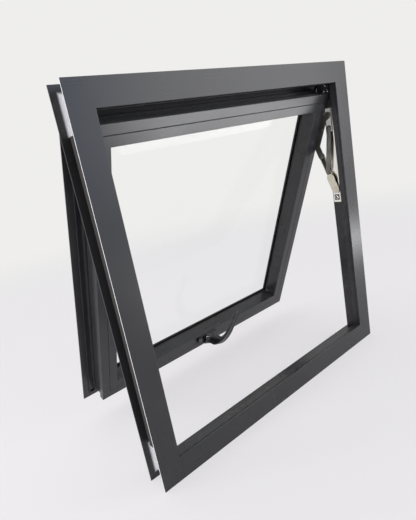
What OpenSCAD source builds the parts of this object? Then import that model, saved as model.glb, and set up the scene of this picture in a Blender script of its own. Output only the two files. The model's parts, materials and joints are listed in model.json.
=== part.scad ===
// Top hung awning window: a mitred aluminium frame with a channel round its outside,
// a glazed sash held open on two friction stays, and a cam handle on the bottom rail.
// The origin is on the back of the wall flange, at the middle of the sill.
// +X runs to the right seen from the room, +Y points outdoors and +Z up.

/* [Frame] */
// Width over the frame
frame_w = 600; // [480:10:900]
// Height over the frame
frame_h = 600; // [520:10:900]
// Depth of the frame from the room face to the weather edge
frame_depth = 41; // [40:1:55]
// Width of the face seen from the room
face_w = 38.4; // [36:0.2:46]
// Depth of the upstand that the sash closes on
stop_depth = 15; // [13:0.5:17]
// Width of the wall flange outside the hollow
flange_w = 14; // [10:0.5:15]
// Distance from the outer edge to the rebate that holds the sash
rebate_at = 24; // [22:0.5:28]
// Wall thickness of the extrusions
wall = 1.6; // [1.2:0.1:2]

/* [Sash] */
// Angle at which the stays hold the sash open
open_angle = 24; // [12:1:30]
// Gap between the sash and the rebate at each side
side_gap = 8; // [7.6:0.2:9]
// How far the head of the open sash has slid down
slide_down = 24.5; // [20:0.5:34]
// How far the head of the open sash stands behind the upstand
head_gap = 6.9; // [6:0.1:9]
// Depth of the sash
sash_depth = 42; // [38:0.5:50]
// Width of the sash face outside the bead
sash_face_w = 16.4; // [14:0.2:22]
// How far the weather flange stands out round the sash
sash_flange_w = 20.5; // [14:0.5:24]
// Depth of the hardware groove in the sides of the sash
groove_depth = 3; // [2:0.1:4]

/* [Glazing] */
// Width of the glazing bead
bead_w = 17; // [14:0.5:20]
// Depth of the glazing bead
bead_depth = 28; // [22:0.5:31]
// Thickness of the glass
glass_t = 6; // [4:0.5:8]
// Thickness of the seal at each face of the glass
seal_t = 2; // [1:0.1:3]

/* [Friction stays] */
// Length of the track on the jamb
track_len = 254; // [230:1:300]
// Width of the track
track_w = 18; // [14:0.5:20]
// Height of the track over the rebate
track_t = 3.4; // [3:0.1:3.6]
// Distance from the top of the frame to the top of the track
track_top = 25; // [24:1:50]
// Thickness of the arm and the vent bar
strip_t = 1.9; // [1.2:0.1:2]
// Width of the upper half of the arm
arm_w = 13; // [10:0.5:15]
// Width of the plate on the lower half of the arm
leaf_w = 17; // [14:0.5:20]
// Length of that plate between its round ends
leaf_len = 27; // [20:1:32]
// Width of the vent bar on the sash
bar_w = 17; // [14:0.5:18]
// Length of the end block of the track
block_len = 20; // [14:0.5:24]
// Length of the cover on the head end of the track
cap_len = 57; // [30:1:58]

/* [Handle] */
// Length of the base plate
base_len = 58; // [50:1:70]
// Width of the base plate
base_w = 20; // [18:0.5:24]
// Thickness of the base plate
base_t = 5; // [4:0.5:8]
// Diameter of the hub of the lever
hub_d = 22; // [20:0.5:26]
// Diameter of the pivot of the lever
pivot_d = 8; // [6:0.5:10]
// Radius from the pivot to the tip of the lever
lever_reach = 96; // [86:1:110]
// Distance of the back of the grip from the sash
lever_rise = 54; // [46:1:60]
// Thickness of the grip
lever_t = 5; // [4:0.5:7]
// Width of the grip at its tip
lever_w = 12.5; // [11:0.5:16]
// Angle by which the lever is turned from upright
lever_turn = 21; // [0:1:30]

/* [Hidden] */
// Overrun of the cuts
over = 1;
// Gap between parts that slide or turn on each other
slip = 0.3;
// Running clearance round the pivot, on the radius
pivot_clear = 0.05;
// Facets in a full turn
fine = 48;

// Places in the frame, from the room face and the bottom edge
flange_mid = flange_w / 2;
frame_mid = frame_h / 2;
rebate_x = frame_w / 2 - rebate_at;

// Radius of the rounded edges of the extrusions
edge_r = 0.8;
edge_steps = 4;

// Groove line that runs round the inner side of the upstand
line_at = 3.4;
line_w = 1.2;
line_deep = 0.8;

// Seal on the back of the upstand
stop_seal_w = 6;
stop_seal_t = 3;
stop_seal_in = 4;

// Seal on the weather edge of the frame, where the weather flange of the sash closes
edge_seal_w = 4;
edge_seal_t = 2.4;
edge_clear = 5;

// Strip of foam in the outer channel of each jamb
foam_t = 5;
foam_w = 24;
foam_at = 8;
foam_short = 50;

// The sash in its own place: head edge of its room face at the origin. Its head stands
// clear of the upstand, and its weather flange clear of the seal on the weather edge.
sash_w = frame_w - 2 * (rebate_at + side_gap);
sash_h = frame_h - 2 * (rebate_at + side_gap);
lip_v = sash_depth - wall;
flange_out = lip_v * cos(open_angle) - sash_flange_w * sin(open_angle);
sash_y = max(stop_depth + head_gap, frame_depth + edge_seal_t + edge_clear - flange_out);
sash_z = frame_h - rebate_at - side_gap - slide_down;
sash_in = sash_face_w + bead_w;
groove_from = 11;
groove_w = 20;
rib_at = 12;
rib_h = 3;
bead_gap = 0.3;

// Glass between its two seals
glass_v = lip_v - seal_t - glass_t;
glass_bite = 12;
pane_w = sash_w - 2 * (sash_in - glass_bite);
pane_h = sash_h - 2 * (sash_in - glass_bite);
seal_w = 8;
seal_back = 1;

// Friction stays: heights up the jamb and distances down the sash
track_gap = 4;
track_y = stop_depth + stop_seal_t + track_gap + track_w / 2;
track_base = 0.8;
track_lip = 3;
track_end = frame_h - track_top - track_len;
bar_x = sash_w / 2;
arm_x = bar_x + strip_t + slip;
arm_foot_up = 28;
arm_lean = 20;
arm_len = 78;
bar_from = 36;
bar_to = 116;
bar_v = 0.5;
nose_d = 8;
shoe_len = 46;
shoe_up = 13;
rivet_d = 8;
rivet_t = 1.2;
pin_d = 5;

// Hollow along the upper half of the arm
strap_rim = 1.6;
strap_deep = 0.4;

// Link from the shoe to the arm
link_w = 9;
link_drop = 25;
link_at = 41;
link_rivet_d = 6;
link_rivet_t = 1;

// Cover on the track and the stop at its head end
cap_t = 1.2;
cap_clear = 1;
stop_t = 4.2;
stop_len = 30;
stop_out = 10;

// Handle, from the middle of its base plate
handle_up = 23;
hub_t = 9;
spindle_t = 2;
spindle_rim = 1.5;
head_clear = 0.3;
cam_reach = 15;
cam_w = 12;
cam_t = 4;
stem_w = 17;
stem_back = 2;
stem_t = 20;
stem_root = 9;
stem_flare = 5;
bend_start = 27;
bend_len = 54;
bend_steps = 16;
grip_rim = 1.8;
grip_deep = 0.7;

// Colours of the finishes
powder = [0.25, 0.26, 0.29];
rubber = [0.07, 0.07, 0.07];
steel = [0.82, 0.81, 0.78];
nylon = [0.45, 0.45, 0.44];
black_nylon = [0.05, 0.05, 0.055];
gloss_black = [0.03, 0.03, 0.035];
clear = [0.85, 0.93, 0.95, 0.35];

// Measures on the frame run from its room face and its bottom edge
module in_frame() {
  translate([0, -wall, -flange_mid]) children();
}

// Measures on the open sash run from the head edge of its room face
module on_sash() {
  in_frame() translate([0, sash_y, sash_z]) rotate([open_angle, 0, 0]) children();
}

// A length of extrusion along X with mitred ends. The child is its section, with depth
// along X and the distance inward along Y, between the limits lo and hi.
module mitred(half, lo, hi, depth) {
  long = half - lo;
  short = half - hi;
  intersection() {
    translate([-long, 0, 0]) rotate([90, 0, 90]) linear_extrude(2 * long) children();
    translate([0, depth + over, 0]) rotate([90, 0, 0]) linear_extrude(depth + 2 * over)
      polygon([[-long, lo], [long, lo], [short, hi], [-short, hi]]);
  }
}

// One side of a ring of extrusions: 0 bottom, 1 left, 2 top, 3 right
module ring_side(side, w, h, lo, hi, depth) {
  flat = side % 2 == 0;
  rotate([0, 90 * side, 0]) translate([0, 0, flat ? -h / 2 : -w / 2])
    mitred(flat ? w / 2 : h / 2, lo, hi, depth) children();
}

// Rounded edge of a section, from one direction to another about its middle
function edge(at, from, to) =
  [for (i = [0:edge_steps]) let (a = from + (to - from) * i / edge_steps)
    at + edge_r * [cos(a), sin(a)]];

// Section of the frame: wall flange, hollow upstand, hollow rebate wall, weather flange
module frame_section() {
  difference() {
    polygon(concat([[0, 0]],
                   edge([edge_r, face_w - edge_r], 180, 90),
                   edge([stop_depth - edge_r, face_w - edge_r], 90, 0),
                   [[stop_depth, rebate_at], [frame_depth, rebate_at], [frame_depth, 0],
                    [frame_depth - wall, 0], [frame_depth - wall, flange_w],
                    [wall, flange_w], [wall, 0]]));
    polygon([[wall, flange_w + wall], [wall, face_w - wall],
             [stop_depth - wall, face_w - wall], [stop_depth - wall, rebate_at - wall],
             [frame_depth - wall, rebate_at - wall], [frame_depth - wall, flange_w + wall]]);
    translate([line_at, face_w - line_deep]) square([line_w, line_deep + over]);
  }
}

module frame_side(side) {
  color(powder) in_frame() translate([0, 0, frame_mid])
    ring_side(side, frame_w, frame_h, 0, face_w, frame_depth) frame_section();
}

// Soft seal on the back of the upstand
module stop_seal_section() {
  translate([stop_depth, face_w - stop_seal_in - stop_seal_w])
    square([stop_seal_t, stop_seal_w]);
}

module stop_seal(side) {
  lo = face_w - stop_seal_in - stop_seal_w;
  color(rubber) in_frame() translate([0, 0, frame_mid])
    ring_side(side, frame_w, frame_h, lo, lo + stop_seal_w, frame_depth) stop_seal_section();
}

// Soft seal on the weather edge
module edge_seal_section() {
  translate([frame_depth, rebate_at - edge_seal_w]) square([edge_seal_t, edge_seal_w]);
}

module edge_seal(side) {
  depth = frame_depth + edge_seal_t;
  color(rubber) in_frame() translate([0, 0, frame_mid])
    ring_side(side, frame_w, frame_h, rebate_at - edge_seal_w, rebate_at, depth)
      edge_seal_section();
}

// Foam strip in the outer channel of a jamb, stopping short of both corners
module channel_foam(hand) {
  x = frame_w / 2 - flange_w;
  color(rubber) in_frame()
    translate([hand < 0 ? -x - foam_t : x, foam_at, foam_short])
      cube([foam_t, foam_w, frame_h - 2 * foam_short]);
}

// Section of the sash: hollow chamber with a hardware groove in its side, weather flange
// with a rib, and the lip that holds the glass
module sash_section() {
  groove_to = groove_from + groove_w;
  difference() {
    union() {
      polygon(concat([[sash_depth, sash_face_w]],
                     edge([edge_r, sash_face_w - edge_r], 90, 180),
                     edge([edge_r, edge_r], 180, 270), [[sash_depth, 0]]));
      translate([lip_v, -sash_flange_w]) square([wall, sash_flange_w + sash_in]);
      translate([lip_v - rib_h, rib_at - sash_flange_w]) square([rib_h + wall, wall]);
    }
    translate([groove_from, -over]) square([groove_w, groove_depth + over]);
    polygon([[wall, wall], [wall, sash_face_w - wall],
             [lip_v, sash_face_w - wall], [lip_v, wall],
             [groove_to + wall, wall], [groove_to + wall, groove_depth + wall],
             [groove_from - wall, groove_depth + wall], [groove_from - wall, wall]]);
  }
}

module sash_side(side) {
  color(powder) on_sash() translate([0, 0, -sash_h / 2])
    ring_side(side, sash_w, sash_h, -sash_flange_w, sash_in, sash_depth) sash_section();
}

// Hollow glazing bead with a leg that meets the chamber of the sash
module bead_section() {
  w = bead_w - bead_gap;
  translate([0, sash_face_w + bead_gap]) difference() {
    polygon(concat([[bead_depth, w]], edge([edge_r, w - edge_r], 90, 180),
                   edge([edge_r, edge_r], 180, 270), [[bead_depth, 0]]));
    translate([wall, wall]) square([bead_depth - 2 * wall, w - 2 * wall]);
  }
}

module bead(side) {
  color(powder) on_sash() translate([0, 0, -sash_h / 2])
    ring_side(side, sash_w, sash_h, sash_face_w, sash_in, sash_depth) bead_section();
}

// Strips that grip the glass: one at the bead and one at the lip
module glazing_seal_section() {
  lo = sash_in - seal_w;
  translate([bead_depth, lo]) square([glass_v - bead_depth, seal_w - seal_back]);
  translate([glass_v + glass_t, lo]) square([seal_t, seal_w - seal_back]);
}

module glazing_seal(side) {
  color(rubber) on_sash() translate([0, 0, -sash_h / 2])
    ring_side(side, sash_w, sash_h, sash_in - seal_w, sash_in, sash_depth)
      glazing_seal_section();
}

module glass_pane() {
  color(clear) on_sash()
    translate([-pane_w / 2, glass_v, -(sash_h + pane_h) / 2]) cube([pane_w, glass_t, pane_h]);
}

// Mirrors a stay made for the right jamb
module at_hand(hand) {
  if (hand < 0) mirror([1, 0, 0]) children();
  else children();
}

// Flat plate in the plane of a stay: the child is drawn with Y across and Z up
module plate(x, t) {
  translate([x, 0, 0]) rotate([90, 0, 90]) linear_extrude(t) children();
}

// Round-ended strip from one point to another
function round_end(at, r, from) =
  [for (i = [0:fine / 2]) let (a = from + 360 * i / fine) at + r * [cos(a), sin(a)]];

module strip(from, to, w) {
  run = to - from;
  lean = atan2(run[1], run[0]);
  polygon(concat(round_end(to, w / 2, lean - 90), round_end(from, w / 2, lean + 90)));
}

// Pivots of the stay, as depth and height in the frame
foot = [track_y, track_end + arm_foot_up];
elbow = foot + arm_len * [sin(arm_lean), cos(arm_lean)];

// Depth and height in the frame of a point given down and into the sash
function sash_point(down, into) =
  [sash_y + down * sin(open_angle) + into * cos(open_angle),
   sash_z - down * cos(open_angle) + into * sin(open_angle)];

// Height on the track at which the head end of the vent bar meets it
function down_at(y, into) = (y - sash_y - into * cos(open_angle)) / sin(open_angle);
nose = sash_point(down_at(track_y, -nose_d), -nose_d);

// Channel-shaped track on the jamb with its end block
module stay_track(hand) {
  x = rebate_x - track_t;
  color(steel) in_frame() at_hand(hand) {
    difference() {
      translate([x, track_y - track_w / 2, track_end]) cube([track_t, track_w, track_len]);
      translate([x - over, track_y - track_w / 2 + track_base, track_end + block_len])
        cube([track_t - track_base + over, track_w - 2 * track_base,
              track_len - block_len + over]);
    }
    for (edge = [track_y - track_w / 2 + track_base, track_y + track_w / 2 - track_lip])
      translate([x, edge, track_end + block_len])
        cube([track_base, track_lip - track_base, track_len - block_len]);
  }
}

// Sliding shoe that carries the nose of the vent bar
module stay_shoe(hand) {
  inner = track_w - 2 * track_base - 2 * slip;
  mouth = track_w - 2 * track_lip - 2 * slip;
  x = rebate_x - track_t;
  color(nylon) in_frame() at_hand(hand)
    translate([0, nose[0], nose[1] + shoe_up - shoe_len]) {
      translate([x + track_base + slip, -inner / 2, 0])
        cube([track_t - 2 * track_base - 2 * slip, inner, shoe_len]);
      translate([bar_x + strip_t, -mouth / 2, 0])
        cube([x + track_base + 2 * slip - bar_x - strip_t, mouth, shoe_len]);
    }
}

// Bar on the side of the sash, with a nose to the shoe and an ear to the arm
module stay_vent_bar(hand) {
  top = sash_point(bar_from + bar_w, bar_v);
  bottom = sash_point(bar_to - bar_w / 2, bar_v);
  color(steel) in_frame() at_hand(hand) {
    plate(bar_x, strip_t) {
      strip(top, bottom, bar_w);
      strip(top, nose, arm_w);
      strip(bottom, elbow, arm_w);
    }
    for (p = [nose, elbow]) translate([bar_x - rivet_t, p[0], p[1]]) rotate([0, 90, 0])
      cylinder(d = rivet_d, h = rivet_t, $fn = fine);
  }
}

// Cover over the head end of the track with the stop under the head of the frame
module stay_cap(hand) {
  x = rebate_x - track_t - cap_t;
  top = track_end + track_len;
  low = max(top - cap_len, nose[1] + shoe_up + cap_clear);
  color(black_nylon) in_frame() at_hand(hand) {
    translate([x, track_y - track_w / 2, low]) cube([cap_t, track_w, top - low]);
    translate([x + cap_t - stop_t, track_y - track_w / 2, top - stop_len])
      cube([stop_t, track_w + stop_out, stop_len]);
  }
}

// Link that ties the middle of the arm to the shoe
module stay_link(hand) {
  high = nose - [0, link_drop];
  low = foot + link_at * [sin(arm_lean), cos(arm_lean)];
  color(steel) in_frame() at_hand(hand) {
    plate(bar_x, strip_t) strip(low, high, link_w);
    for (p = [low, high]) translate([bar_x - link_rivet_t, p[0], p[1]]) rotate([0, 90, 0])
      cylinder(d = link_rivet_d, h = link_rivet_t, $fn = fine);
    translate([bar_x + strip_t, low[0], low[1]]) rotate([0, 90, 0])
      cylinder(d = pin_d, h = slip + strap_deep, $fn = fine);
  }
}

// Arm from the track to the vent bar: a narrow strap on a wide lower plate
module stay_arm(hand) {
  leaf_end = foot + leaf_len * [sin(arm_lean), cos(arm_lean)];
  strap_mid = arm_x + (strip_t + strap_deep) / 2;
  color(steel) in_frame() at_hand(hand) {
    difference() {
      plate(arm_x, strip_t) strip(foot, elbow, arm_w);
      plate(arm_x - over, strap_deep + over) strip(foot, elbow, arm_w - 2 * strap_rim);
    }
    plate(arm_x - strip_t, strip_t) strip(foot, leaf_end, leaf_w);
    translate([arm_x - strip_t - rivet_t, foot[0], foot[1]]) rotate([0, 90, 0])
      cylinder(d = rivet_d, h = rivet_t + strip_t / 2, $fn = fine);
    translate([strap_mid, foot[0], foot[1]]) rotate([0, 90, 0])
      cylinder(d = pin_d, h = rebate_x - track_base - strap_mid, $fn = fine);
    translate([arm_x - slip, elbow[0], elbow[1]]) rotate([0, 90, 0])
      cylinder(d = pin_d, h = strap_mid - arm_x + slip, $fn = fine);
  }
}

// Measures on the handle run from the pivot on the room face of the bottom rail:
// X across, Y up the sash and Z towards the room
module on_handle() {
  on_sash() translate([0, 0, handle_up - sash_h]) rotate([90, 0, 0]) children();
}

// Base plate with the bore of the spindle, wider at the back for its head
module handle_base() {
  color(gloss_black) on_handle() difference() {
    linear_extrude(base_t) strip([-(base_len - base_w) / 2, 0],
                                 [(base_len - base_w) / 2, 0], base_w);
    translate([0, 0, -over])
      cylinder(r = pivot_d / 2 + pivot_clear, h = base_t + 2 * over, $fn = fine);
    translate([0, 0, -over])
      cylinder(r = pivot_d / 2 + spindle_rim + head_clear,
               h = over + slip + spindle_t + slip, $fn = fine);
  }
}

// Pin under the lever, with the head that holds it in the base
module handle_spindle() {
  color(steel) on_handle() translate([0, 0, slip]) {
    cylinder(d = pivot_d, h = base_t, $fn = fine);
    cylinder(r = pivot_d / 2 + spindle_rim, h = spindle_t, $fn = fine);
  }
}

// Quarter of an oval about the inner end of the grip, with its half axes
function bend(along, out) =
  [for (i = [0:bend_steps]) let (a = 180 - 90 * i / bend_steps)
    [bend_len - stem_back + along * cos(a), bend_start + out * sin(a)]];

// Side view of the lever: out along the hub, round a bend and on to the tip
module lever_side() {
  rise = lever_rise - bend_start;
  bend_z = base_t + slip + hub_t;
  polygon(concat([[-stem_back - stem_flare, bend_z - over]], bend(bend_len, rise),
                 [[lever_reach, lever_rise], [lever_reach, lever_rise - lever_t]],
                 [for (i = [0:bend_steps])
                   bend(bend_len - stem_t, rise - lever_t)[bend_steps - i]],
                 [[stem_root, bend_z - over]]));
}

// Hollow along the back of the grip, seen from the side
module grip_hollow() {
  rise = lever_rise - bend_start;
  polygon(concat(bend(bend_len + over, rise + over),
                 [[lever_reach + over, lever_rise + over],
                  [lever_reach + over, lever_rise - grip_deep]],
                 [for (i = [0:bend_steps])
                   bend(bend_len - grip_deep, rise - grip_deep)[bend_steps - i]]));
}

// The side view given as the child, across a width
module lever_slab(w) {
  translate([w / 2, 0, 0]) rotate([90, 0, -90]) mirror([1, 0, 0]) linear_extrude(w)
    children();
}

// Lever with its hub and the tongue that holds the sash shut
module handle_lever() {
  foot_z = base_t + slip;
  tip = lever_reach - lever_w / 2;
  plan = concat(round_end([0, tip], lever_w / 2, 0), [[-stem_w / 2, -hub_d / 2],
                                                      [stem_w / 2, -hub_d / 2]]);
  color(gloss_black) on_handle() rotate(-lever_turn) {
    translate([0, 0, foot_z]) cylinder(d = hub_d, h = hub_t, $fn = fine);
    translate([-cam_w / 2, -cam_reach, foot_z]) cube([cam_w, cam_reach, cam_t]);
    intersection() {
      difference() {
        lever_slab(stem_w) lever_side();
        lever_slab(lever_w - 2 * grip_rim) grip_hollow();
      }
      linear_extrude(lever_rise + over) polygon(plan);
    }
  }
}

frame_side(2);  // frame_head
frame_side(0);  // frame_sill
frame_side(1);  // frame_jamb_left
frame_side(3);  // frame_jamb_right
stop_seal(2);  // stop_seal_head
stop_seal(0);  // stop_seal_sill
stop_seal(1);  // stop_seal_left
stop_seal(3);  // stop_seal_right
edge_seal(2);  // edge_seal_head
edge_seal(0);  // edge_seal_sill
edge_seal(1);  // edge_seal_left
edge_seal(3);  // edge_seal_right
channel_foam(-1);  // channel_foam_left
channel_foam(1);  // channel_foam_right
sash_side(2);  // sash_top_rail
sash_side(0);  // sash_bottom_rail
sash_side(1);  // sash_stile_left
sash_side(3);  // sash_stile_right
bead(2);  // bead_top
bead(0);  // bead_bottom
bead(1);  // bead_left
bead(3);  // bead_right
glazing_seal(2);  // glazing_seal_top
glazing_seal(0);  // glazing_seal_bottom
glazing_seal(1);  // glazing_seal_left
glazing_seal(3);  // glazing_seal_right
glass_pane();
stay_track(-1);  // stay_track_left
stay_track(1);  // stay_track_right
stay_shoe(-1);  // stay_shoe_left
stay_shoe(1);  // stay_shoe_right
stay_vent_bar(-1);  // stay_vent_bar_left
stay_vent_bar(1);  // stay_vent_bar_right
stay_arm(-1);  // stay_arm_left
stay_arm(1);  // stay_arm_right
stay_link(-1);  // stay_link_left
stay_link(1);  // stay_link_right
stay_cap(-1);  // stay_cap_left
stay_cap(1);  // stay_cap_right
handle_base();
handle_spindle();
handle_lever();
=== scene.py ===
import bpy
import bmesh
import json
import math
from mathutils import Matrix, Vector


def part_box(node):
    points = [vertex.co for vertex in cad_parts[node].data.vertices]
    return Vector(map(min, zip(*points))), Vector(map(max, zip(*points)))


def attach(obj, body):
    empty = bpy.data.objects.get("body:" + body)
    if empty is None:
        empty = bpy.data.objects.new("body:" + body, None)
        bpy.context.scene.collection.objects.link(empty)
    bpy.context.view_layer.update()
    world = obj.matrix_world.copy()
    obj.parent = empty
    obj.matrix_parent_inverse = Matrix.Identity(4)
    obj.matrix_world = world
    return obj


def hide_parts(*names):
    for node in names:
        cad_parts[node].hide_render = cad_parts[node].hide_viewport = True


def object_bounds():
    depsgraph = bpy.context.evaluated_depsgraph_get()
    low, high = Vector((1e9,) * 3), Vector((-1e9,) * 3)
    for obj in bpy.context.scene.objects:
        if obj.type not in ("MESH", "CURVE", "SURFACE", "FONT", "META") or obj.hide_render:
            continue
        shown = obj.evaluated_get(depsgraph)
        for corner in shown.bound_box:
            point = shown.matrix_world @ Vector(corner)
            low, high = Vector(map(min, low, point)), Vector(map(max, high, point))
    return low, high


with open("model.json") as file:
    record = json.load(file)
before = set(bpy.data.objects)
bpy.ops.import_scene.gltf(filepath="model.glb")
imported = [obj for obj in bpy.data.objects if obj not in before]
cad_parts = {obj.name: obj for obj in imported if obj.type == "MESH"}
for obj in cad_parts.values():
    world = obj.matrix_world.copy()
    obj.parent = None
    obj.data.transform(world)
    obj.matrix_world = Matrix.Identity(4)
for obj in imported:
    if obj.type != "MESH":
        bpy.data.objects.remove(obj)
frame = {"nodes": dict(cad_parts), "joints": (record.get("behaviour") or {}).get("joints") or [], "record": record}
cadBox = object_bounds()
nodes = frame["nodes"]
mm = 0.001
print("frame loaded,", len(nodes), "nodes")

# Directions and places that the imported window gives: the lever's pin stands square on the sash
hinge = next(j for j in frame["joints"] if j["name"] == "handle_turn")
toRoom = Vector(hinge["axis"]).normalized()
acrossSash = Vector((1, 0, 0))
upSash = acrossSash.cross(toRoom) * -1
openAngle = math.atan2(-toRoom.z, -toRoom.y)
hub = Vector(hinge["pos_m"])
frameLow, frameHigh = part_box("frame_sill")[0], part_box("frame_head")[1]
frameMid = (frameLow + frameHigh) / 2
paneLow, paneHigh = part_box("glass_pane")
sashMid = (paneLow + paneHigh) / 2
print("sash stands open by", round(math.degrees(openAngle), 2), "degrees")


def sashPoint(across, up, out):
    # a place measured on the sash from the lever's pin: across, up the sash, towards the room
    return hub + acrossSash * across + upSash * up + toRoom * out


def innerFace(node):
    # how far from the middle of the window a piece's nearest face stands
    return min(abs(corner.x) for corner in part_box(node))


def stand(place, out, roll=0.0):
    # a matrix that stands a part made round +Z on a face, with its Z pointing out of that face
    turn = Vector(out).normalized().to_track_quat("Z", "Y").to_matrix().to_4x4()
    return Matrix.Translation(place) @ turn @ Matrix.Rotation(roll, 4, "Z")


def addObject(name, data):
    item = bpy.data.objects.new(name, data)
    bpy.context.scene.collection.objects.link(item)
    return item


# Node tree helpers

def addNode(tree, kind, inputs=None, **settings):
    # a node with its settings, and each input linked where it is a socket and set where it is a value
    node = tree.nodes.new(kind)
    for key, value in settings.items():
        setattr(node, key, value)
    for key, value in (inputs or {}).items():
        if isinstance(value, bpy.types.NodeSocket):
            tree.links.new(value, node.inputs[key])
        else:
            node.inputs[key].default_value = value
    return node


def calc(tree, operation, *values, clamp=False):
    # one step of arithmetic on values or sockets
    node = addNode(tree, "ShaderNodeMath", dict(enumerate(values)), operation=operation, use_clamp=clamp)
    return node.outputs[0]


def mixColors(tree, share, one, two):
    return addNode(tree, "ShaderNodeMix", {0: share, 6: one, 7: two}, data_type="RGBA").outputs[2]


def newGroup(name, inputs, outputs):
    # inputs and outputs are (name, socket type)
    group = bpy.data.node_groups.new(name, "ShaderNodeTree")
    for title, kind in inputs:
        group.interface.new_socket(name=title, in_out="INPUT", socket_type=kind)
    for title, kind in outputs:
        group.interface.new_socket(name=title, in_out="OUTPUT", socket_type=kind)
    given, result = group.nodes.new("NodeGroupInput"), group.nodes.new("NodeGroupOutput")
    return group, given.outputs, result.inputs


def useGroup(tree, group, inputs):
    return addNode(tree, "ShaderNodeGroup", inputs, node_tree=group).outputs


def newMaterial(name):
    material = bpy.data.materials.new(name)
    material.use_nodes = True
    tree = material.node_tree
    tree.nodes.clear()
    output = tree.nodes.new("ShaderNodeOutputMaterial")
    shader = tree.nodes.new("ShaderNodeBsdfPrincipled")
    tree.links.new(shader.outputs["BSDF"], output.inputs["Surface"])
    return material, tree, shader


# Effects that several finishes share

floatSocket, vectorSocket = "NodeSocketFloat", "NodeSocketVector"


def buildDrawnLines():
    # fine lines along an extrusion or a rolled strip; Stretch is small along the length
    group, given, result = newGroup(
        "drawnLines", [("Vector", vectorSocket), ("Stretch", vectorSocket), ("Fineness", floatSocket)],
        [("Lines", floatSocket)])
    drawn = addNode(group, "ShaderNodeVectorMath", {0: given["Vector"], 1: given["Stretch"]},
                    operation="MULTIPLY").outputs[0]
    broad = addNode(group, "ShaderNodeTexNoise", {"Vector": drawn, "Scale": 1.0, "Detail": 2.0}).outputs["Fac"]
    finer = addNode(group, "ShaderNodeTexNoise",
                    {"Vector": drawn, "Scale": given["Fineness"], "Detail": 1.0}).outputs["Fac"]
    group.links.new(calc(group, "MULTIPLY", calc(group, "ADD", broad, finer), 0.5), result["Lines"])
    return group


def buildSurfaceGrain():
    # soft clouding and a fine grain, both as values round one half
    group, given, result = newGroup(
        "surfaceGrain", [("Vector", vectorSocket), ("Cloud Scale", floatSocket), ("Grain Scale", floatSocket)],
        [("Cloud", floatSocket), ("Grain", floatSocket)])
    for title, detail in (("Cloud", 3.0), ("Grain", 2.0)):
        noise = addNode(group, "ShaderNodeTexNoise",
                        {"Vector": given["Vector"], "Scale": given[title + " Scale"], "Detail": detail})
        group.links.new(noise.outputs["Fac"], result[title])
    return group


def buildMitreSeam():
    # the hairline where two mitred ends meet, on a square frame centred on the vector's origin
    group, given, result = newGroup(
        "mitreSeam", [("Vector", vectorSocket), ("Line", floatSocket)], [("Seam", floatSocket)])
    parts = addNode(group, "ShaderNodeSeparateXYZ", {0: given["Vector"]}).outputs
    gap = calc(group, "SUBTRACT", calc(group, "ABSOLUTE", parts["X"]), calc(group, "ABSOLUTE", parts["Z"]))
    ratio = calc(group, "DIVIDE", calc(group, "ABSOLUTE", gap), given["Line"])
    group.links.new(calc(group, "SUBTRACT", 1.0, ratio, clamp=True), result["Seam"])
    return group


def buildBareAndLitReach():
    # bare metal where the powder did not reach, the floor of the outer channel near its corners, lightened
    # as painted highlight too, and the edge of the wall flange as a painted highlight line; all measured from the
    # middle of the frame
    group, given, result = newGroup(
        "bareAndLitReach",
        [("Vector", vectorSocket), ("Floor", floatSocket), ("Full", floatSocket), ("Gone", floatSocket),
         ("Half Depth", floatSocket), ("Lip", floatSocket), ("Face", floatSocket), ("Corner", floatSocket)],
        [("BareAndLit", floatSocket)])
    parts = addNode(group, "ShaderNodeSeparateXYZ", {0: given["Vector"]}).outputs
    sideways, upright = calc(group, "ABSOLUTE", parts["X"]), calc(group, "ABSOLUTE", parts["Z"])
    reach = calc(group, "MAXIMUM", sideways, upright)
    fade = addNode(group, "ShaderNodeMapRange", {"Value": reach, "From Min": given["Full"],
                                                 "From Max": given["Gone"], "To Min": 1.0, "To Max": 0.0},
                   interpolation_type="SMOOTHSTEP").outputs[0]
    within = calc(group, "LESS_THAN", calc(group, "ABSOLUTE", parts["Y"]), given["Half Depth"])
    beyond = calc(group, "GREATER_THAN", reach, given["Floor"])
    corner = calc(group, "GREATER_THAN", calc(group, "MINIMUM", sideways, upright), given["Corner"])
    channel = calc(group, "MULTIPLY", calc(group, "MULTIPLY", fade, within), beyond)
    channel = calc(group, "MULTIPLY", channel, corner)
    lip = calc(group, "MULTIPLY", calc(group, "GREATER_THAN", reach, given["Lip"]),
               calc(group, "GREATER_THAN", parts["Y"], given["Face"]))
    lip = calc(group, "MULTIPLY", lip, calc(group, "LESS_THAN", parts["Y"], 0.0))
    group.links.new(calc(group, "MAXIMUM", channel, lip), result["BareAndLit"])
    return group


drawnLines = buildDrawnLines()
surfaceGrain = buildSurfaceGrain()
mitreSeam = buildMitreSeam()
bareAndLitReach = buildBareAndLitReach()
print("shader groups built")


# Finishes

noiseSpread = (0.3, 0.7)  # nearly all values of a noise lie between these


def glossFrom(tree, value, gloss, spread=noiseSpread):
    # roughness between two limits, as a value runs over its spread
    return addNode(tree, "ShaderNodeMapRange", {"Value": value, "From Min": spread[0], "From Max": spread[1],
                                                "To Min": gloss[0], "To Max": gloss[1]}).outputs[0]


def roundEdges(tree, bump, radius):
    # lets sharp edges catch the light as if they were rounded
    corner = addNode(tree, "ShaderNodeBevel", {"Radius": radius}, samples=6)
    tree.links.new(corner.outputs[0], bump.inputs["Normal"])


def dressShader(tree, shader, color, rough, bump):
    tree.links.new(color, shader.inputs["Base Color"])
    tree.links.new(rough, shader.inputs["Roughness"])
    tree.links.new(bump.outputs[0], shader.inputs["Normal"])


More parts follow.
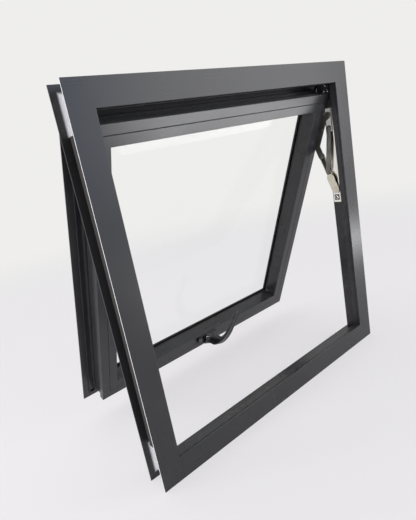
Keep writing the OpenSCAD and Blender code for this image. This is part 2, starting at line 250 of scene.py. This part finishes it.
def powderCoat(name, look, middle, lean, alongX, bareAndLit=None):
    # satin powder coat on an extrusion that runs along X, or else along the leaning Z
    material, tree, shader = newMaterial(name)
    coords = addNode(tree, "ShaderNodeTexCoord").outputs["Object"]
    local = addNode(tree, "ShaderNodeMapping", {"Vector": coords, "Location": middle, "Rotation": (lean, 0, 0)},
                    vector_type="TEXTURE").outputs[0]
    stretch = (look["alongPerM"], look["acrossPerM"], look["acrossPerM"])
    lines = useGroup(tree, drawnLines, {"Vector": local, "Stretch": stretch if alongX else stretch[::-1],
                                        "Fineness": look["fineness"]})["Lines"]
    grain = useGroup(tree, surfaceGrain, {"Vector": local, "Cloud Scale": look["cloudPerM"],
                                          "Grain Scale": look["grainPerM"]})
    seam = useGroup(tree, mitreSeam, {"Vector": local, "Line": look["seam"]})["Seam"]
    cloud = calc(tree, "MULTIPLY_ADD", grain["Cloud"], 1 - look["lineShare"],
                 calc(tree, "MULTIPLY", lines, look["lineShare"]))
    color = mixColors(tree, cloud, look["dark"], look["light"])
    color = mixColors(tree, seam, color, look["seamColor"])
    height = calc(tree, "MULTIPLY_ADD", grain["Grain"], look["grainDepth"],
                  calc(tree, "MULTIPLY", lines, look["lineDepth"]))
    height = calc(tree, "MULTIPLY_ADD", seam, -look["seam"], height)
    if bareAndLit:
        # bare metal in the channel corners, partly painted highlight, and a painted highlight line on the wall
        # flange's edge
        mask = useGroup(tree, bareAndLitReach, {"Vector": local, **bareAndLit["reach"]})["BareAndLit"]
        color = mixColors(tree, mask, color, bareAndLit["metal"])
        tree.links.new(calc(tree, "MULTIPLY", mask, bareAndLit["metallic"]), shader.inputs["Metallic"])
    bump = addNode(tree, "ShaderNodeBump", {"Height": height, "Strength": look["bump"], "Distance": 1.0})
    dressShader(tree, shader, color, glossFrom(tree, cloud, look["gloss"]), bump)
    shader.inputs["Specular IOR Level"].default_value = look["specular"]
    return material


def softBlack(name, look):
    # rubber, foam, nylon and gloss paint: one colour, clouded and grained
    material, tree, shader = newMaterial(name)
    coords = addNode(tree, "ShaderNodeTexCoord").outputs["Object"]
    grain = useGroup(tree, surfaceGrain, {"Vector": coords, "Cloud Scale": look["cloudPerM"],
                                          "Grain Scale": look["grainPerM"]})
    bump = addNode(tree, "ShaderNodeBump", {"Height": grain["Grain"], "Strength": look["bump"],
                                            "Distance": look["grainDepth"]})
    if look.get("round"):
        roundEdges(tree, bump, look["round"])
    color = mixColors(tree, grain["Cloud"], look["dark"], look["light"])
    dressShader(tree, shader, color, glossFrom(tree, grain["Cloud"], look["gloss"]), bump)
    shader.inputs["Specular IOR Level"].default_value = look.get("specular", 0.5)
    return material


def brushedSteel(name, look):
    # rolled stainless strip, brushed along its length
    material, tree, shader = newMaterial(name)
    coords = addNode(tree, "ShaderNodeTexCoord").outputs["Object"]
    stretch = (look["acrossPerM"], look["acrossPerM"], look["alongPerM"])
    lines = useGroup(tree, drawnLines, {"Vector": coords, "Stretch": stretch,
                                        "Fineness": look["fineness"]})["Lines"]
    cloud = useGroup(tree, surfaceGrain, {"Vector": coords, "Cloud Scale": look["cloudPerM"],
                                          "Grain Scale": look["acrossPerM"]})["Cloud"]
    bump = addNode(tree, "ShaderNodeBump", {"Height": lines, "Strength": look["bump"],
                                            "Distance": look["lineDepth"]})
    if look.get("round"):
        roundEdges(tree, bump, look["round"])
    color = mixColors(tree, cloud, look["dark"], look["light"])
    if look.get("hollowShadeFrom"):
        # painted shade on the floor of the hollow along the arm, told by its distance from the middle of the
        # window
        sideways = addNode(tree, "ShaderNodeSeparateXYZ", {0: coords}).outputs["X"]
        deep = calc(tree, "GREATER_THAN", calc(tree, "ABSOLUTE", sideways), look["hollowShadeFrom"])
        color = mixColors(tree, deep, color, look["hollowShade"])
    dressShader(tree, shader, color, glossFrom(tree, lines, look["gloss"]), bump)
    shader.inputs["Metallic"].default_value = 1.0
    return material


def clearGlass(name, look):
    material, tree, shader = newMaterial(name)
    coords = addNode(tree, "ShaderNodeTexCoord").outputs["Object"]
    grain = useGroup(tree, surfaceGrain, {"Vector": coords, "Cloud Scale": look["cloudPerM"],
                                          "Grain Scale": look["grainPerM"]})
    rough = glossFrom(tree, grain["Cloud"], look["gloss"], look["spread"])
    tree.links.new(rough, shader.inputs["Roughness"])
    shader.inputs["Base Color"].default_value = look["tint"]
    shader.inputs["Transmission Weight"].default_value = 1.0
    shader.inputs["IOR"].default_value = look["ior"]
    shader.inputs["Specular IOR Level"].default_value = look["specular"]
    return material


coatLook = {"dark": (0.017, 0.0172, 0.0188, 1), "light": (0.031, 0.0312, 0.0335, 1), "gloss": (0.25, 0.33),
            "specular": 0.36, "alongPerM": 0.8, "acrossPerM": 420.0, "fineness": 3.3, "cloudPerM": 9.0,
            "grainPerM": 1500.0, "lineShare": 0.14, "lineDepth": 0.000003, "grainDepth": 0.00002, "bump": 0.2,
            "seam": 0.22 * mm, "seamColor": (0.007, 0.007, 0.008, 1)}
# light colour for bare metal in the channel corners, lightened as painted highlight, and for the painted highlight
# along the wall flange's edge
bareAndLitLook = {"metal": (0.80, 0.80, 0.83, 1), "metallic": 0.5,
            "reach": {"Floor": 0.2855, "Full": 0.2868, "Gone": 0.2912, "Half Depth": 0.0192, "Lip": 0.2995,
                      "Face": -0.0204, "Corner": 0.2345}}
rubberLook = {"dark": (0.010, 0.010, 0.011, 1), "light": (0.022, 0.022, 0.023, 1), "gloss": (0.6, 0.8),
              "cloudPerM": 40.0, "grainPerM": 1200.0, "grainDepth": 0.1 * mm, "bump": 0.4}
foamLook = {"dark": (0.012, 0.011, 0.010, 1), "light": (0.032, 0.029, 0.026, 1), "gloss": (0.8, 0.95),
            "cloudPerM": 60.0, "grainPerM": 700.0, "grainDepth": 0.6 * mm, "bump": 0.8}
steelLook = {"dark": (0.80, 0.77, 0.71, 1), "light": (0.93, 0.91, 0.86, 1), "gloss": (0.14, 0.24),
             "alongPerM": 6.0, "acrossPerM": 900.0, "fineness": 3.0, "cloudPerM": 60.0,
             "lineDepth": 0.03 * mm, "bump": 0.4, "round": 0.4 * mm}
# the arm's look carries painted shade: the floor of its hollow is coloured dark
armLook = {**steelLook, "dark": (0.53, 0.49, 0.40, 1), "light": (0.74, 0.70, 0.60, 1), "gloss": (0.16, 0.28),
           "hollowShadeFrom": 0.2704, "hollowShade": (0.045, 0.042, 0.036, 1)}
# a darker copy of the stainless: painted shade for the vent bars, links and screws that sit in shade
shadedSteelLook = {"dark": (0.10, 0.10, 0.095, 1), "light": (0.27, 0.26, 0.24, 1), "gloss": (0.3, 0.42),
            "alongPerM": 9.0, "acrossPerM": 700.0, "fineness": 3.0, "cloudPerM": 80.0,
            "lineDepth": 0.03 * mm, "bump": 0.4, "round": 0.4 * mm}
pinLook = {"dark": (0.55, 0.54, 0.52, 1), "light": (0.80, 0.79, 0.77, 1), "gloss": (0.12, 0.22),
           "alongPerM": 40.0, "acrossPerM": 600.0, "fineness": 2.0, "cloudPerM": 200.0,
           "lineDepth": 0.02 * mm, "bump": 0.3}
nylonLook = {"dark": (0.58, 0.58, 0.56, 1), "light": (0.72, 0.72, 0.70, 1), "gloss": (0.4, 0.55),
             "cloudPerM": 90.0, "grainPerM": 1500.0, "grainDepth": 0.05 * mm, "bump": 0.3}
capLook = {**nylonLook, "dark": (0.010, 0.010, 0.011, 1), "light": (0.018, 0.018, 0.019, 1), "round": 0.4 * mm}
handleLook = {"dark": (0.004, 0.004, 0.005, 1), "light": (0.009, 0.009, 0.010, 1), "gloss": (0.08, 0.14),
              "cloudPerM": 60.0, "grainPerM": 500.0, "grainDepth": 0.04 * mm, "bump": 0.2, "specular": 0.3,
              "round": 0.9 * mm}
leverLook = {**handleLook, "round": 5.0 * mm, "specular": 0.5}
glassLook = {"tint": (0.995, 1.0, 0.998, 1), "ior": 1.15, "specular": 0.15, "gloss": (0.0, 0.02),
             "spread": (0.45, 0.8), "cloudPerM": 7.0, "grainPerM": 90.0}

frameAlongX = powderCoat("frameCoatAcross", coatLook, frameMid, 0.0, True, bareAndLitLook)
frameAlongZ = powderCoat("frameCoatUpright", coatLook, frameMid, 0.0, False, bareAndLitLook)
sashAlongX = powderCoat("sashCoatAcross", coatLook, sashMid, openAngle, True)
sashAlongZ = powderCoat("sashCoatUpright", coatLook, sashMid, openAngle, False)
rubberSeal, foamStrip = softBlack("rubberSeal", rubberLook), softBlack("foamStrip", foamLook)
# the black nylon of the caps also paints shade: the plate under each track's end screw and the screw recesses
greyNylon, blackNylonAndShade = softBlack("greyNylon", nylonLook), softBlack("blackNylonAndShade", capLook)
glossBlack, leverBlack = softBlack("glossBlack", handleLook), softBlack("glossLever", leverLook)
brightSteel, polishedPin = brushedSteel("brushedStainless", steelLook), brushedSteel("polishedPin", pinLook)
shadedSteel, armSteel = brushedSteel("shadedStainless", shadedSteelLook), brushedSteel("armStainless", armLook)
finishes = {"seal": rubberSeal, "foam": foamStrip, "glass": clearGlass("clearGlass", glassLook),
            "stainless": brightSteel, "nylon": greyNylon, "cap_black": blackNylonAndShade, "handle_black": glossBlack,
            "pivot_steel": polishedPin}


def chooseFinish(nodeName, slot):
    upright = any(word in nodeName for word in ("_left", "_right"))
    if slot == "frame_coat":
        return frameAlongZ if upright else frameAlongX
    if slot == "sash_coat":
        return sashAlongZ if upright else sashAlongX
    # vent bars and links take the darker stainless, painted shade
    if "vent_bar" in nodeName or "link" in nodeName:
        return shadedSteel
    if "stay_arm" in nodeName:
        return armSteel
    if nodeName == "handle_lever":
        return leverBlack
    return finishes[slot]


for part in frame["record"]["subparts"]:
    surface = nodes[part["node"]].data.materials
    surface.clear()
    surface.append(chooseFinish(part["node"], part["material_slot"]))
print("finishes on all nodes")


# Screws

screwLook = {"crossLong": 0.62, "crossWide": 0.17, "flat": 0.70, "shoulder": 0.93, "shoulderHigh": 0.62,
             "sink": 0.16, "taper": 0.05}


def grow(bm, edges, radius, height):
    # one more ring of a round part, to a radius and a height
    grown = bmesh.ops.extrude_edge_only(bm, edges=edges)["geom"]
    ring = [v for v in grown if isinstance(v, bmesh.types.BMVert)]
    share = radius / ring[0].co.xy.length
    bmesh.ops.scale(bm, vec=(share, share, 1), verts=ring)
    bmesh.ops.translate(bm, verts=ring, vec=(0, 0, height - ring[0].co.z))
    return [e for e in grown if isinstance(e, bmesh.types.BMEdge)]


def crossHead(name, look, across, rise):
    # a pan head with a cross recess, standing on Z = 0, kept as a mesh for copying
    bm = bmesh.new()
    radius = across / 2
    arm = radius * look["crossLong"]
    narrow = 3 * look["crossWide"] / look["crossLong"]
    between = arm / 2  # a limit between the middle of the grid and its ends
    bmesh.ops.create_grid(bm, x_segments=3, y_segments=3, size=arm)
    bmesh.ops.scale(bm, vec=(narrow, 1, 1), verts=[v for v in bm.verts if abs(v.co.x) < between])
    bmesh.ops.scale(bm, vec=(1, narrow, 1), verts=[v for v in bm.verts if abs(v.co.y) < between])
    corners = [f for f in bm.faces if min(abs(c) for c in f.calc_center_median().xy) > between]
    bmesh.ops.delete(bm, geom=corners, context="FACES")
    bmesh.ops.subdivide_edges(bm, edges=[e for e in bm.edges if e.is_boundary], cuts=1)
    outline = [e for e in bm.edges if e.is_boundary]
    cross = list(bm.faces)
    made = bmesh.ops.create_circle(bm, cap_ends=False, radius=radius * look["flat"], segments=len(outline))
    ring = list({e for v in made["verts"] for e in v.link_edges})
    bmesh.ops.bridge_loops(bm, edges=outline + ring)
    bmesh.ops.translate(bm, verts=bm.verts, vec=(0, 0, rise))
    ring = grow(bm, ring, radius * look["shoulder"], rise * look["shoulderHigh"])
    ring = grow(bm, ring, radius, 0.0)
    bmesh.ops.edgeloop_fill(bm, edges=ring)
    bmesh.ops.recalc_face_normals(bm, faces=bm.faces)
    bmesh.ops.inset_region(bm, faces=cross, thickness=across * look["taper"], depth=-across * look["sink"])
    # the cross recess takes the second, black material: painted shade in the recess
    for face in cross:
        face.material_index = 1
    mesh = bpy.data.meshes.new(name)
    bm.to_mesh(mesh)
    bm.free()
    return mesh


def addCopy(bm, part, place):
    # a copy of a small part's mesh, put in a piece
    count = len(bm.verts)
    bm.from_mesh(part)
    bm.verts.ensure_lookup_table()
    bmesh.ops.transform(bm, matrix=place, verts=bm.verts[count:])


def newPiece(name, bm, materials, body="window", smoothUnder=35):
    mesh = bpy.data.meshes.new(name)
    bm.to_mesh(mesh)
    bm.free()
    mesh.shade_smooth()
    mesh.set_sharp_from_angle(angle=math.radians(smoothUnder))
    piece = addObject(name, mesh)
    for material in materials:
        mesh.materials.append(material)
    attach(piece, body)
    return piece


# Screws are (width, rise), and places on the jamb are (depth, height)
# the shade plate is a thin black plate under the end screw: painted shade of the recess round it
stayLook = {"endScrew": (9.5 * mm, 1.8 * mm), "endAt": (0.4 * mm, 324.5 * mm), "endTurn": 0.5,
            "shadePlate": (11.5 * mm, 12.0 * mm), "shadePlateRise": 0.4 * mm, "shadePlateEdge": 0.15 * mm,
            "blockScrew": (5.5 * mm, 1.2 * mm), "blockTurns": (0.3, 1.3, 2.3),
            "blockAt": ((29.4 * mm, 553.5 * mm), (32.2 * mm, 542.5 * mm), (24.8 * mm, 542.5 * mm)),
            "barScrew": (7.5 * mm, 1.6 * mm), "barAt": (45.8 * mm, 469.0 * mm), "barTurn": 0.2,
            "rivetHigh": 1.2 * mm}


def screwStays(look):
    # a thin black plate of painted shade under the screw at the head end of each track, that screw, the screws of
    # its end block, and one on the vent bar
    endHead = crossHead("endHead", screwLook, *look["endScrew"])
    blockHead = crossHead("blockHead", screwLook, *look["blockScrew"])
    barHead = crossHead("barHead", screwLook, *look["barScrew"])
    for side, hand in (("left", -1), ("right", 1)):
        trackLow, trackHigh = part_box("stay_track_" + side)
        inward = Vector((-hand, 0, 0))
        depth, height = look["endAt"]
        place = Vector((innerFace("stay_track_" + side) * hand, (trackLow.y + trackHigh.y) / 2 + depth, height))

        # a thin black plate: painted shade round the end screw
        shadePlate = bmesh.new()
        bmesh.ops.create_grid(shadePlate, x_segments=1, y_segments=1, size=0.5)
        bmesh.ops.scale(shadePlate, vec=(*look["shadePlate"], 1), verts=shadePlate.verts)
        solid = bmesh.ops.extrude_face_region(shadePlate, geom=shadePlate.faces[:])["geom"]
        bmesh.ops.translate(shadePlate, verts=[v for v in solid if isinstance(v, bmesh.types.BMVert)],
                            vec=(0, 0, look["shadePlateRise"]))
        bmesh.ops.recalc_face_normals(shadePlate, faces=shadePlate.faces)
        bmesh.ops.bevel(shadePlate, geom=shadePlate.edges[:], affect="EDGES", offset=look["shadePlateEdge"], segments=2, profile=0.5,
                        material=-1)
        bmesh.ops.transform(shadePlate, matrix=stand(place, inward), verts=shadePlate.verts)
        newPiece("track_shadePlate_" + side, shadePlate, [blackNylonAndShade])

        heads = bmesh.new()
        addCopy(heads, endHead, stand(place + inward * look["shadePlateRise"], inward, look["endTurn"]))
        block = innerFace("stay_cap_" + side) * hand
        for turn, at in zip(look["blockTurns"], look["blockAt"]):
            addCopy(heads, blockHead, stand(Vector((block, *at)), inward, turn))
        newPiece("stay_screws_" + side, heads, [polishedPin, blackNylonAndShade])

        knob = bmesh.new()
        bar = (innerFace("stay_vent_bar_" + side) + look["rivetHigh"]) * hand
        addCopy(knob, barHead, stand(Vector((bar, *look["barAt"])), inward, look["barTurn"]))
        # the vent bar's screw takes the darker stainless, painted shade
        newPiece("bar_screw_" + side, knob, [shadedSteel, blackNylonAndShade])


handleScrewLook = {"screw": (6.5 * mm, 0.8 * mm), "apart": 43.0 * mm, "plateHigh": 5.0 * mm, "turns": (0.4, 1.4)}


def screwHandle(look):
    heads = bmesh.new()
    head = crossHead("baseHead", screwLook, *look["screw"])
    for turn, side in zip(look["turns"], (-0.5, 0.5)):
        place = sashPoint(side * look["apart"], 0, look["plateHigh"])
        addCopy(heads, head, stand(place, toRoom, turn))
    # the handle's screws take the darker stainless, painted shade
    newPiece("handle_screws", heads, [shadedSteel, blackNylonAndShade])


foamShape = {"short": 65.0 * mm, "edge": 0.7 * mm}


def laySoftStrip(look):
    # the packing foam in the outer channel of each jamb, cut shorter than the jamb and soft at its edges
    for side in ("left", "right"):
        low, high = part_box("channel_foam_" + side)
        bottom, top = frameLow.z + look["short"], frameHigh.z - look["short"]
        bm = bmesh.new()
        bmesh.ops.create_cube(bm, size=1.0)
        bmesh.ops.scale(bm, vec=(high.x - low.x, high.y - low.y, top - bottom), verts=bm.verts)
        bmesh.ops.translate(bm, vec=((low.x + high.x) / 2, (low.y + high.y) / 2, (bottom + top) / 2),
                            verts=bm.verts)
        bmesh.ops.bevel(bm, geom=bm.edges[:], affect="EDGES", offset=look["edge"], segments=3, profile=0.5,
                        material=-1)
        strip = newPiece("foam_strip_" + side, bm, [foamStrip])
        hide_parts("channel_foam_" + side)


laySoftStrip(foamShape)
print("foam laid in the jambs")
screwStays(stayLook)
screwHandle(handleScrewLook)
print("screws set")


# Floor, light and camera

stageLook = {"floorColor": (0.80, 0.79, 0.81, 1), "floorRough": 0.7, "floorSpecular": 0.2, "floorSize": 14.0,
             "floorDrop": 0.4 * mm, "floorGlow": (0.775, 0.76, 0.785, 1), "glowShare": 0.78, "fadeFrom": 0.9,
             "fadeTo": 2.6, "white": (0.86, 0.855, 0.845, 1), "daylight": 0.95}


def raysThatSee(tree):
    # 1 for what the camera sees, straight or in metal and glass
    rays = addNode(tree, "ShaderNodeLightPath").outputs
    seen = calc(tree, "MAXIMUM", rays["Is Camera Ray"], rays["Is Glossy Ray"])
    return calc(tree, "MAXIMUM", seen, rays["Is Transmission Ray"])


def mixShaders(tree, share, one, two):
    return addNode(tree, "ShaderNodeMixShader", {0: share, 1: one, 2: two}).outputs[0]


def layFloor(look):
    # a pale floor that keeps the shadow near the window and fades into the white further off
    bm = bmesh.new()
    bmesh.ops.create_grid(bm, x_segments=1, y_segments=1, size=look["floorSize"] / 2)
    bmesh.ops.translate(bm, verts=bm.verts, vec=(0, 0, cadBox[0][2] - look["floorDrop"]))
    mesh = bpy.data.meshes.new("floor")
    bm.to_mesh(mesh)
    bm.free()
    floor = addObject("floor", mesh)
    material, tree, shader = newMaterial("paleFloor")
    shader.inputs["Base Color"].default_value = look["floorColor"]
    shader.inputs["Roughness"].default_value = look["floorRough"]
    shader.inputs["Specular IOR Level"].default_value = look["floorSpecular"]
    glow = addNode(tree, "ShaderNodeEmission", {"Color": look["floorGlow"], "Strength": 1.0}).outputs[0]
    paper = addNode(tree, "ShaderNodeEmission", {"Color": look["white"], "Strength": 1.0}).outputs[0]
    seen = raysThatSee(tree)
    near = mixShaders(tree, calc(tree, "MULTIPLY", seen, look["glowShare"]), shader.outputs[0], glow)
    coords = addNode(tree, "ShaderNodeTexCoord").outputs["Object"]
    away = addNode(tree, "ShaderNodeVectorMath", {0: coords}, operation="LENGTH").outputs["Value"]
    fade = addNode(tree, "ShaderNodeMapRange", {"Value": away, "From Min": look["fadeFrom"],
                                                "From Max": look["fadeTo"]},
                   interpolation_type="SMOOTHSTEP").outputs[0]
    whole = mixShaders(tree, calc(tree, "MULTIPLY", fade, seen), near, paper)
    tree.links.new(whole, tree.nodes["Material Output"].inputs["Surface"])
    mesh.materials.append(material)


def lightWorld(look):
    world = bpy.data.worlds.new("studio")
    bpy.context.scene.world = world
    world.use_nodes = True
    tree = world.node_tree
    tree.nodes.clear()
    output = tree.nodes.new("ShaderNodeOutputWorld")
    white = addNode(tree, "ShaderNodeBackground", {"Color": look["white"], "Strength": 1.0}).outputs[0]
    soft = addNode(tree, "ShaderNodeBackground", {"Color": look["white"], "Strength": look["daylight"]}).outputs[0]
    tree.links.new(mixShaders(tree, raysThatSee(tree), soft, white), output.inputs["Surface"])


lampLook = {
    "skyPanel": {"place": (-0.6, 0.9, 2.1), "aim": (0, 0.1, 0.2), "size": (1.8, 1.8), "power": 16.0},
    "windowPanel": {"place": (1.02, -1.15, 0.78), "aim": (0, 0, 0.5), "size": (1.1, 1.1), "power": 11.5},
    "lowPanel": {"place": (0.68, -0.57, 0.01), "aim": (0.68, -0.55, 1.0), "size": (1.0, 0.4), "power": 10.5},
    "bluePanel": {"place": (0.1, -1.5, 0.75), "aim": (-0.2, 0, 0.4), "size": (0.9, 0.9), "power": 3.2,
                  "tint": (0.32, 0.52, 1.0)},
    "leftPanel": {"place": (-1.4, 0.05, 0.32), "aim": (0, 0.2, 0.1), "size": (0.4, 0.4), "power": 8.0},
    "glintLamp": {"place": (-1.16, 0.60, 1.34), "aim": (0, 0.2, 0.06), "size": (0.2, 0.2), "power": 3.2,
                  "throughGlass": True},
}


def hangLamps(look):
    for name, lamp in look.items():
        light = bpy.data.lights.new(name, "AREA")
        light.shape = "RECTANGLE"
        light.size, light.size_y = lamp["size"]
        light.energy = lamp["power"]
        light.color = lamp.get("tint", (1, 1, 1))
        item = addObject(name, light)
        item.visible_camera = False
        item.visible_transmission = lamp.get("throughGlass", False)
        item.location = lamp["place"]
        item.rotation_euler = (Vector(lamp["aim"]) - Vector(lamp["place"])).to_track_quat("-Z", "Y").to_euler()


cameraView = {"place": (-0.5379, -0.5183, 0.4901), "look": (0.5950, 0.7609, -0.2588),
              "up": (0.3057, 0.0835, 0.9485), "lens": 30.09, "sensor": 36.0, "nearest": 10 * mm}


def placeCamera(view):
    camera = bpy.data.cameras.new("camera")
    camera.lens = view["lens"]
    camera.sensor_width = view["sensor"]
    camera.clip_start = view["nearest"]
    item = addObject("camera", camera)
    back = -Vector(view["look"]).normalized()
    right = Vector(view["up"]).cross(back).normalized()
    turn = Matrix((right, back.cross(right), back)).transposed().to_4x4()
    item.matrix_world = Matrix.Translation(Vector(view["place"])) @ turn
    bpy.context.scene.camera = item


layFloor(stageLook)
lightWorld(stageLook)
hangLamps(lampLook)
placeCamera(cameraView)
bpy.context.scene.view_settings.view_transform = "Standard"
print("studio set")
